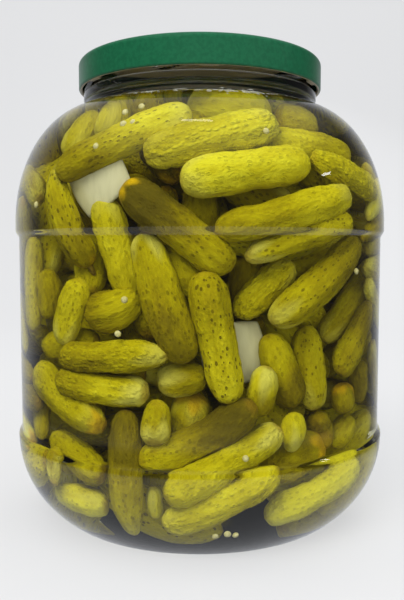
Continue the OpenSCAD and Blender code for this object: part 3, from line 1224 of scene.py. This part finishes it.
# %% Node groups
def new_group(name, inputs, outputs):
    group = bpy.data.node_groups.new(name, "ShaderNodeTree")
    for label, kind in inputs:
        group.interface.new_socket(label, in_out="INPUT", socket_type=kind)
    for label, kind in outputs:
        group.interface.new_socket(label, in_out="OUTPUT", socket_type=kind)
    return group, node(group, "NodeGroupInput").outputs


def make_speckle():
    group, given = new_group(
        "speckle",
        [("Vector", "NodeSocketVector"), ("Scale", "NodeSocketFloat"),
         ("Dark", "NodeSocketColor"), ("Light", "NodeSocketColor")],
        [("Color", "NodeSocketColor"), ("Height", "NodeSocketFloat")],
    )
    pattern = noise(group, given["Vector"], given["Scale"], 3.0)
    share = fade(group, pattern, 0.35, 0.65)
    color = blend(group, share, given["Dark"], given["Light"])
    node(group, "NodeGroupOutput", Color=color, Height=pattern)
    return group


def make_from_axis():
    group, given = new_group(
        "from_axis", [("Vector", "NodeSocketVector")], [("Distance", "NodeSocketFloat")]
    )
    level = drawn_out(group, given["Vector"], (1, 1, 0))
    far = node(group, "ShaderNodeVectorMath", {"operation": "LENGTH"}, i0=level).outputs["Value"]
    node(group, "NodeGroupOutput", Distance=far)
    return group


SPECKLE = make_speckle()
FROM_AXIS = make_from_axis()


def speckle(tree, place, scale, dark, light):
    return node(
        tree, "ShaderNodeGroup", {"node_tree": SPECKLE}, Vector=place, Scale=scale,
        Dark=(*dark, 1), Light=(*light, 1),
    ).outputs


def from_axis(tree, place):
    return node(tree, "ShaderNodeGroup", {"node_tree": FROM_AXIS}, Vector=place).outputs["Distance"]


print("shared node groups:", SPECKLE.name, FROM_AXIS.name)

# %% [markdown]
# ## Places for the small things
# Onion, seeds and the berry lie just behind the glass. At the front each is placed, like the
# gherkins, by the angle and height at which it is seen. Round the sides and the back there is no
# one look that decides, so they are set straight behind the wall.

# %% Places behind the glass
SIGHT_TURN = 80


def behind_glass(turn, high, deep):
    """The middle and the outward direction of a thing seen at this angle and height."""
    meet, way, bent_in = line_of_sight(np.radians([turn]), np.array([high * MM]))
    middle = meet[0] + way[0] * deep * MM / bent_in[0]
    return Vector(middle), Vector((middle[0], middle[1], 0)).normalized()


def around_jar(turn, high, deep):
    """The same for the sides and the back, where no one look decides the place."""
    turn = math.radians(turn)
    out = Vector((math.sin(turn), -math.cos(turn), 0))
    return out * (float(wall_radius(high * MM)) - deep * MM) + Vector((0, 0, high * MM)), out


def stand_at(obj, middle, out, roll):
    """Turn a thing that faces along +Z so that it faces outwards, then put it in its place."""
    turned = out.to_track_quat("Z", "Y").to_matrix().to_4x4() @ Matrix.Rotation(math.radians(roll), 4, "Z")
    obj.matrix_world = Matrix.Translation(middle) @ turned
    settle_in_place(obj)


# %% [markdown]
# ## Pieces of onion
# An onion's layers come apart as thin curved plates. Each plate starts as a grid, whose square
# outline is drawn towards a round one. It is then bent over two curves, given its thickness and
# smoothed. Pale veins run along it.

# %% Onion plates
ONION_THICK = 2.6 * MM
ONION_GRID = 10
ONION_ROUND = 0.40
CURVE_WIDE, CURVE_TALL = 46 * MM, 70 * MM


def onion_plate(turn, high, deep, wide, tall, roll):
    deselect()
    bpy.ops.mesh.primitive_grid_add(x_subdivisions=ONION_GRID, y_subdivisions=ONION_GRID, size=1)
    plate = bpy.context.object
    plate.scale = (wide * MM, tall * MM, 1)
    bpy.ops.object.transform_apply(location=False, rotation=False, scale=True)
    bpy.ops.object.mode_set(mode="EDIT")
    bpy.ops.mesh.select_all(action="SELECT")
    bpy.ops.transform.tosphere(value=ONION_ROUND, center_override=(0, 0, 0))
    bpy.ops.object.mode_set(mode="OBJECT")
    for v in plate.data.vertices:
        v.co.z = -(v.co.x**2 / CURVE_WIDE + v.co.y**2 / CURVE_TALL)
    apply_modifier(plate, "SOLIDIFY", thickness=ONION_THICK, offset=0)
    apply_modifier(plate, "SUBSURF", levels=1, render_levels=1)
    place = behind_glass if turn < SIGHT_TURN else around_jar
    middle, out = place(turn, high, deep)
    stand_at(plate, middle, out, roll)
    bpy.ops.object.shade_smooth()
    return plate


def make_onion_material():
    material, tree = new_material("pale_onion")
    drawn = drawn_out(tree, object_place(tree), (1, 1, 0.25))
    veins = speckle(tree, drawn, 420.0, (0.66, 0.64, 0.42), (0.72, 0.70, 0.47))
    show_surface(
        tree, Base_Color=veins["Color"], Roughness=0.35, Normal=relief(tree, veins["Height"], 0.3, 0.0004)
    )
    return material


ONIONS = [
    # turn, high, deep, wide, tall, roll
    (-29, 150, 11, 27, 25, 32), (9, 84, 18, 26, 27, 8), (96, 60, 13, 24, 22, 40),
    (150, 118, 13, 26, 20, -20), (205, 140, 13, 22, 24, 70), (262, 132, 13, 27, 22, 15),
]
onions = join([onion_plate(*line) for line in ONIONS], "onion_plates")
finish_piece(onions, "onion_plates", make_onion_material())

# %% [markdown]
# ## Mustard seeds and an allspice berry
# Mustard seeds rest between the gherkins and the glass, with a few on the floor, and there is one
# brown allspice berry. All are small spheres, a little flattened and each turned its own way.

# %% Mustard seeds and the berry
SEEDS = [
    (-24, 175), (-19, 177), (-23, 170), (-20, 170.5), (-30, 162), (-52, 141), (19, 167), (-20, 104),
    (-7, 97), (-22, 91), (50, 114), (12, 44), (88, 150), (97, 120), (120, 66), (133, 162), (147, 95),
    (171, 52), (180, 140), (184, 138), (200, 88), (222, 165), (236, 110), (251, 71), (268, 150), (281, 96),
]
FLOOR_SEEDS = [
    # turn, distance from the axis, size
    (4.5, 74, 1.3), (8, 75.5, 1.6), (10.5, 74.5, 1.3), (150, 60, 1.4), (216, 66, 1.4),
]
SEEN_DEEP, UNSEEN_DEEP = 1.6, 1.7
SEED_SQUASH, BERRY_SQUASH = 0.88, 0.95
FLOOR_REACHES = [0.0, 0.06, 0.078]
FLOOR_HEIGHTS = [9 * MM, 5 * MM, 13 * MM]
BERRY_R = 3.0 * MM


def pebble(middle, size, squash):
    deselect()
    bpy.ops.mesh.primitive_uv_sphere_add(segments=24, ring_count=14, radius=size)
    seed = bpy.context.object
    seed.scale = (1, 1, squash)
    seed.rotation_euler = tuple(rng.uniform(0, 6, 3))
    seed.location = middle
    settle_in_place(seed)
    bpy.ops.object.shade_smooth()
    return seed


def plain_food(name, colors, roughness, scale):
    material, tree = new_material(name)
    color = speckle(tree, object_place(tree), scale, *colors)["Color"]
    show_surface(tree, Base_Color=color, Roughness=roughness)
    return material


def seed_at_wall(turn, high):
    if turn < SIGHT_TURN:
        return behind_glass(turn, high, SEEN_DEEP)[0]
    return around_jar(turn, high, UNSEEN_DEEP)[0]


def seed_on_floor(turn, reach, size):
    """The floor is domed in the middle and climbs into the heel."""
    turn = math.radians(turn)
    place = Vector((reach * math.sin(turn) * MM, -reach * math.cos(turn) * MM, 0))
    place.z = float(np.interp(place.length, FLOOR_REACHES, FLOOR_HEIGHTS)) + size * MM
    return place


seeds = []
for turn, high in SEEDS:
    place = seed_at_wall(turn, high)
    seeds.append(pebble(place, float(rng.uniform(1.25, 1.5)) * MM, SEED_SQUASH))
for turn, reach, size in FLOOR_SEEDS:
    seeds.append(pebble(seed_on_floor(turn, reach, size), size * MM, SEED_SQUASH))
seed_material = plain_food("mustard_seed", ((0.60, 0.55, 0.22), (0.72, 0.68, 0.34)), 0.5, 900.0)
finish_piece(join(seeds, "mustard_seeds"), "mustard_seeds", seed_material)
berry = pebble(behind_glass(-13, 133, 12)[0], BERRY_R, BERRY_SQUASH)
berry_material = plain_food("dark_berry", ((0.10, 0.05, 0.012), (0.20, 0.10, 0.02)), 0.6, 700.0)
finish_piece(berry, "allspice_berry", berry_material)

# %% [markdown]
# ## A bit of stem
# One gherkin at the upper left still has a stub of the stem that it grew on. It is a small cone
# with rounded edges, and it stands on the end of that gherkin's chain.

# %% The bit of stem
STEMMED = 26
STEM_LONG = 5 * MM
STEM_R, STEM_TIP_R, STEM_ROUND = 1.5 * MM, 0.8 * MM, 0.4 * MM
STEM_OUT = 0.40


def make_stem():
    chain = chains[STEMMED]
    way = Vector(chain[-1] - chain[-2]).normalized()
    tip = Vector(chain[-1]) + way * STEM_OUT * float(thicks[STEMMED])
    deselect()
    bpy.ops.mesh.primitive_cone_add(vertices=20, radius1=STEM_R, radius2=STEM_TIP_R, depth=STEM_LONG)
    stem = bpy.context.object
    apply_modifier(stem, "BEVEL", width=STEM_ROUND, segments=3)
    stand_at(stem, tip + way * STEM_LONG / 2, way, 0)
    bpy.ops.object.shade_smooth()
    return stem


stem_material = plain_food("gherkin_stem", ((0.13, 0.085, 0.006), (0.24, 0.17, 0.012)), 0.5, 800.0)
finish_piece(make_stem(), "gherkin_stem", stem_material)

# %% [markdown]
# ## Froth at the edge of the brine
# Where the brine meets the sloping glass, small bubbles cling to the wall, most of them just above
# the surface, where they show as a broken white line. A real bubble is a thin film round air. Here
# each is a small pale ball, dense at its rim and half clear in its middle, as a bubble looks from
# outside. Thousands of them stay light because each ball has very few faces.

# %% Bubbles round the neck
BUBBLES = 2600
BUBBLE_SIZES = (0.30, 0.45, 0.60, 0.90, 1.2)
BUBBLE_SHARES = (0.32, 0.33, 0.24, 0.08, 0.03)
FINE_BUBBLE_UNDER = 0.7 * MM
ABOVE_SHARE = 0.65
ABOVE_MOST = 3.6
LARGE_BUBBLE = 2.2 * MM
LARGE_TURN = -8


def bubble_places():
    """Seeded places close to the wall, some on the glass above the brine, and one large bubble."""
    places = []
    for i in range(BUBBLES):
        turn = rng.uniform(0, 2 * math.pi)
        crowd = 0.5 + 0.5 * math.sin(3 * turn + 1) * math.sin(5 * turn)
        size = float(rng.choice(BUBBLE_SIZES, p=BUBBLE_SHARES)) * MM
        above = rng.uniform(0, ABOVE_MOST) * (0.4 + 0.6 * crowd)
        below = abs(rng.normal(0, 0.3 + 0.7 * crowd))
        high = brine_z + (above if rng.random() < ABOVE_SHARE else -below) * MM
        reach = float(wall_radius(high + size * 0.8)) - size * 0.5 - rng.uniform(0, 0.3) * MM
        places.append((turn, reach, high, size))
    large_reach = float(wall_radius(brine_z)) - LARGE_BUBBLE
    places.append((math.radians(LARGE_TURN), large_reach, brine_z + 0.6 * MM, LARGE_BUBBLE))
    return places


def plain_bubble(subdivisions):
    deselect()
    bpy.ops.mesh.primitive_ico_sphere_add(subdivisions=subdivisions, radius=1)
    return bpy.context.object


def make_froth():
    """Small bubbles are plain balls of few faces, the larger ones are rounder."""
    small, large = plain_bubble(1), plain_bubble(2)
    made = []
    for turn, reach, high, size in bubble_places():
        bubble = own_copy(large if size > FINE_BUBBLE_UNDER else small)
        bubble.scale = (1.3 * size, size, 0.85 * size)
        bubble.rotation_euler = (0, 0, turn)
        bubble.location = (reach * math.sin(turn), -reach * math.cos(turn), high)
        made.append(bubble)
    bpy.data.objects.remove(small)
    bpy.data.objects.remove(large)
    froth = join(made, "froth")
    settle_in_place(froth)
    bpy.ops.object.shade_smooth()
    return froth


def make_froth_material():
    material, tree = new_material("pale_froth")
    rim = node(tree, "ShaderNodeLayerWeight", Blend=0.45).outputs["Facing"]
    show_surface(
        tree, Base_Color=(0.95, 0.95, 0.90, 1), Roughness=0.12,
        Alpha=fade(tree, rim, 0.1, 0.8, 0.35, 1.0),
    )
    return material


finish_piece(make_froth(), "froth", make_froth_material())

# %% [markdown]
# ## The cap
# The cap is pressed from thin steel. Outside it has a green lacquer with the faint grain of a
# sprayed coat, and its underside is a tan lacquer. The solid model's cap already has its true
# shape, so it stays, and only its material is new. The material tells the two sides apart by how
# far a point lies from the axis and how high it is.

# %% Lacquer
SIDE_STEEL = 0.6 * MM
TOP_STEEL = 1.75 * MM
TAN = (0.42, 0.36, 0.24, 1)


def make_lacquer():
    material, tree = new_material("green_lacquer")
    place = object_place(tree)
    green = speckle(tree, place, 600.0, (0.0060, 0.076, 0.033), (0.0080, 0.094, 0.041))["Color"]
    high = node(tree, "ShaderNodeSeparateXYZ", Vector=place).outputs["Z"]
    within = math_node(tree, "LESS_THAN", from_axis(tree, place), cap_r - SIDE_STEEL)
    under = math_node(tree, "LESS_THAN", high, cap_high.z - TOP_STEEL)
    inside = math_node(tree, "MULTIPLY", within, under)
    grain = noise(tree, place, 1500.0, 2.0)
    show_surface(
        tree, Base_Color=blend(tree, inside, green, TAN), Roughness=0.34, Specular_IOR_Level=0.25,
        Normal=relief(tree, grain, 0.12, 0.0002),
    )
    return material


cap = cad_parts["cap"]
cap.data.materials[0] = make_lacquer()
print("the cap has", triangles(cap), "triangles and the material", cap.data.materials[0].name)

# %% [markdown]
# ## Camera
# The camera stands in front of the jar, a little above half its height, and looks slightly down.
# It is lower than the cap, so the cap shows its side and not its top.

# %% Camera
CAMERA_AWAY = 0.340
CAMERA_HIGH = 0.1228
PITCH_DOWN = 4.12
TURN_RIGHT = 0.17
LENS = 41.85
camera_data = bpy.data.cameras.new("camera")
camera_data.lens = LENS
camera = bpy.data.objects.new("camera", camera_data)
camera.location = (0, -CAMERA_AWAY, CAMERA_HIGH)
camera.rotation_euler = (math.radians(90 - PITCH_DOWN), 0, math.radians(-TURN_RIGHT))
bpy.context.scene.collection.objects.link(camera)
bpy.context.scene.camera = camera
print("camera distance and height, m:", CAMERA_AWAY, CAMERA_HIGH)

# %% [markdown]
# ## The floor
# The floor runs up behind the jar as one pale sweep, so there is no line between floor and wall.
# It also gives off a little light of its own, painted light that keeps it as pale as paper under
# soft lamps. Close round the jar it gives off a bit less, a painted shadow that joins the jar's
# cast shadow, so that shadow still shows.

# %% Floor and backdrop in one sweep
FLOOR_SIZE = 4
FLOOR_FORWARD = 1.2
SWEEP_STEPS = 10
SWEEP_STEP = 0.12
BACKDROP_HIGH = 4


def make_sweep():
    deselect()
    bpy.ops.mesh.primitive_plane_add(size=FLOOR_SIZE, location=(0, -FLOOR_FORWARD, 0))
    floor = bpy.context.object
    bpy.ops.object.mode_set(mode="EDIT")
    bpy.ops.mesh.select_mode(type="EDGE")
    bpy.ops.mesh.select_all(action="DESELECT")
    shape = bmesh.from_edit_mesh(floor.data)
    for edge in shape.edges:
        edge.select = all(v.co.y > 0 for v in edge.verts)
    bmesh.update_edit_mesh(floor.data)
    for i in range(SWEEP_STEPS):
        turn = math.radians(90 / SWEEP_STEPS * (i + 0.5))
        move = (0, SWEEP_STEP * math.cos(turn), SWEEP_STEP * math.sin(turn))
        bpy.ops.mesh.extrude_region_move(TRANSFORM_OT_translate={"value": move})
    bpy.ops.mesh.extrude_region_move(TRANSFORM_OT_translate={"value": (0, 0, BACKDROP_HIGH)})
    bpy.ops.object.mode_set(mode="OBJECT")
    settle_in_place(floor)
    bpy.ops.object.shade_smooth()
    floor.name = "floor"
    floor.visible_glossy = False
    return floor


def make_floor_material():
    material, tree = new_material("pale_floor")
    # painted light: the floor glows, and glows a bit less near the jar's axis as a painted shadow
    glow = fade(tree, from_axis(tree, object_place(tree)), 0.055, 0.11, 0.85, 1.0)
    glow = ramp(tree, glow, (0.0, gray(0)), (1.0, (0.97, 0.98, 1.0)))
    show_surface(
        tree, Base_Color=(*gray(0.22), 1), Roughness=0.8, Specular_IOR_Level=0.0,
        Emission_Color=glow, Emission_Strength=0.55,
    )
    return material


floor = make_sweep()
floor.data.materials.append(make_floor_material())
print("the floor and its sweep have", triangles(floor), "triangles")

# %% [markdown]
# ## Lamps
# Large soft lamps give the shape: a strong one from the upper left, weaker ones from the right, the
# front and the back, and one that only washes the backdrop. They aren't mirrored in the glass,
# because their square shapes would show. Two small lamps are, and leave small bright reflections.

# %% Lamps
JAR_MIDDLE = (0, 0, 0.1)
COOL = (0.97, 0.98, 1.0)
WHITE = (1.0, 1.0, 1.0)
LAMPS = [
    # name, place, looks at, size, watts, colour, mirrored
    ("window", (-0.55, -0.95, 1.25), JAR_MIDDLE, (1.1, 0.9), 24, (1.0, 0.985, 0.96), False),
    ("side_fill", (1.0, -0.8, 0.8), JAR_MIDDLE, (0.9, 0.9), 8, COOL, False),
    ("front_fill", (0.1, -1.6, 0.3), JAR_MIDDLE, (1.2, 1.0), 9, (1.0, 0.99, 0.97), False),
    ("wall_wash", (0, 0.1, 1.8), (0, 1.2, 0.5), (2.5, 0.6), 14, COOL, False),
    ("back_fill", (0.5, 1.2, 0.9), JAR_MIDDLE, (0.9, 0.6), 5, WHITE, False),
    ("glint", (1.14, -0.15, 0.64), (0.048, -0.069, 0.152), (0.16, 0.03), 0.14, WHITE, True),
    ("ceiling", (-0.03, -0.40, 1.35), (0, -0.06, 0.17), (0.30, 0.05), 0.20, WHITE, True),
]


def area_light(name, place, target, size, power, color, mirrored):
    data = bpy.data.lights.new(name, "AREA")
    data.shape = "RECTANGLE"
    data.size, data.size_y = size
    data.energy = power
    data.color = color
    lamp = bpy.data.objects.new(name, data)
    lamp.location = place
    lamp.rotation_euler = (Vector(target) - Vector(place)).to_track_quat("-Z", "Y").to_euler()
    lamp.visible_camera = False
    lamp.visible_glossy = mirrored
    lamp.visible_transmission = mirrored
    bpy.context.scene.collection.objects.link(lamp)


for lamp in LAMPS:
    area_light(*lamp)
print("lamps:", len(LAMPS), "with", sum(lamp[4] for lamp in LAMPS), "watts")

# %% [markdown]
# ## The room around
# What the glass mirrors and bends is mostly the world. It is dim in front, so that no veil lies
# over the glass, and pale behind and below, where it stands in for wall and floor. High up it
# turns pale again. The camera itself sees a plain pale sky.

# %% World
WORLD_DIM = 0.10
WORLD_PALE = (0.80, 0.82, 0.86)
PLAIN_SKY = (0.94, 0.95, 0.97, 1)
LEAN = -0.15


def make_world():
    world = bpy.data.worlds.new("studio")
    bpy.context.scene.world = world
    world.use_nodes = True
    tree = world.node_tree
    tree.nodes.clear()
    facing = node(tree, "ShaderNodeTexCoord").outputs["Generated"]
    parts = node(tree, "ShaderNodeSeparateXYZ", Vector=facing).outputs
    back = fade(tree, math_node(tree, "MULTIPLY_ADD", parts["X"], LEAN, parts["Y"]), 0.40, 0.95)
    below = fade(tree, parts["Z"], -0.22, -0.34)
    above = fade(tree, parts["Z"], 0.50, 0.85, 0.0, 0.75)
    share = math_node(tree, "MAXIMUM", math_node(tree, "MAXIMUM", back, below), above)
    color = ramp(tree, share, (0.0, gray(WORLD_DIM)), (1.0, WORLD_PALE), smooth=False)
    seen = node(tree, "ShaderNodeLightPath").outputs["Is Camera Ray"]
    sky = node(
        tree, "ShaderNodeBackground", Color=blend(tree, seen, color, PLAIN_SKY), Strength=0.85
    )
    node(tree, "ShaderNodeOutputWorld", Surface=sky.outputs[0])
    return world


print("world:", make_world().name)
bpy.context.scene.view_settings.view_transform = "Standard"
